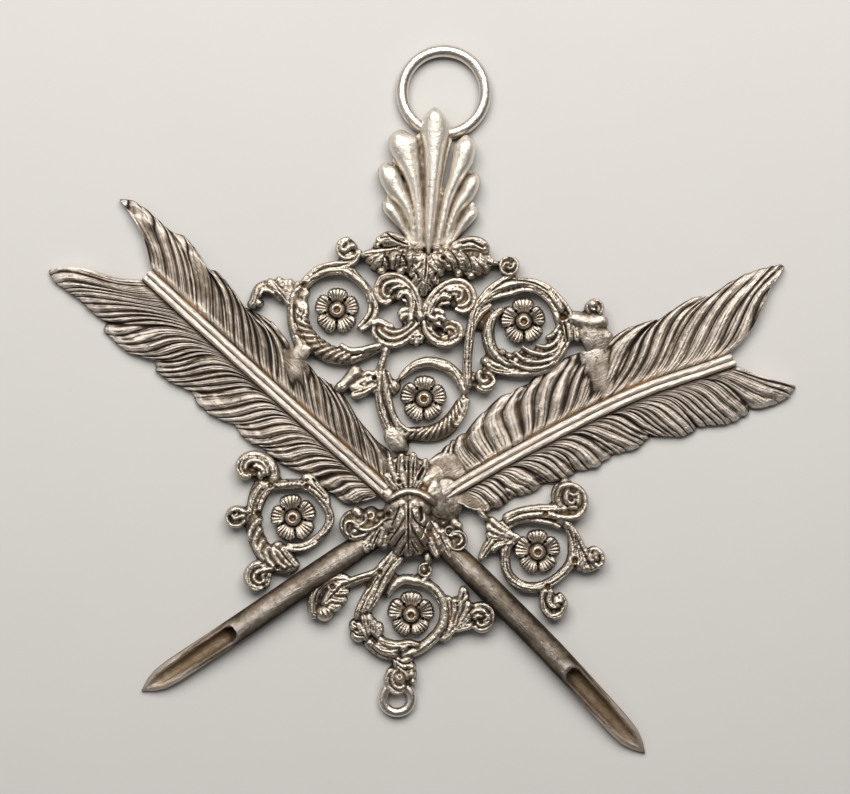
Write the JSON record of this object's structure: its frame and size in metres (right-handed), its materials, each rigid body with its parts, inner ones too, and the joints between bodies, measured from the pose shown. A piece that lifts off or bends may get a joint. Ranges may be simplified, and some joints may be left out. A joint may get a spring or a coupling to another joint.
{
  "type": "collar jewel",
  "caption": "Cast silver collar jewel of crossed quill pens in an openwork of scrolls and rosettes, with a fan palmette under a hanging ring.",
  "frame": {"origin": "centre of the bounding box, on the plane of the flat back", "axes": "+Z out of the front, +Y toward the suspension ring, +X to the right seen from the front"},
  "size_m": [0.0992, 0.0948, 0.0046],
  "materials": {
    "cast_silver": "cast silver, tarnished brown to black in the recesses and rubbed bright on top",
    "quill_silver": "cast silver with worn barbs, the barrels satin with fine scratches",
    "satin_silver": "frosted satin silver",
    "wire_silver": "worn drawn silver wire"
  },
  "bodies": {
    "root": {"quill_left": "quill_silver", "quill_right": "quill_silver", "leaf_wrap": "cast_silver", "palmette": "satin_silver", "acanthus_collar": "cast_silver", "c_scrolls": "cast_silver", "scroll_upper_left": "cast_silver", "scroll_upper_right": "cast_silver", "scroll_middle": "cast_silver", "scroll_lower_left": "cast_silver", "scroll_lower_right": "cast_silver", "scroll_bottom": "cast_silver", "rosette_upper_left": "cast_silver", "rosette_upper_right": "cast_silver", "rosette_middle": "cast_silver", "rosette_lower_left": "cast_silver", "rosette_lower_right": "cast_silver", "rosette_bottom": "cast_silver", "suspension_ring": "wire_silver", "lower_loop": "wire_silver"}
  },
  "joints": []
}
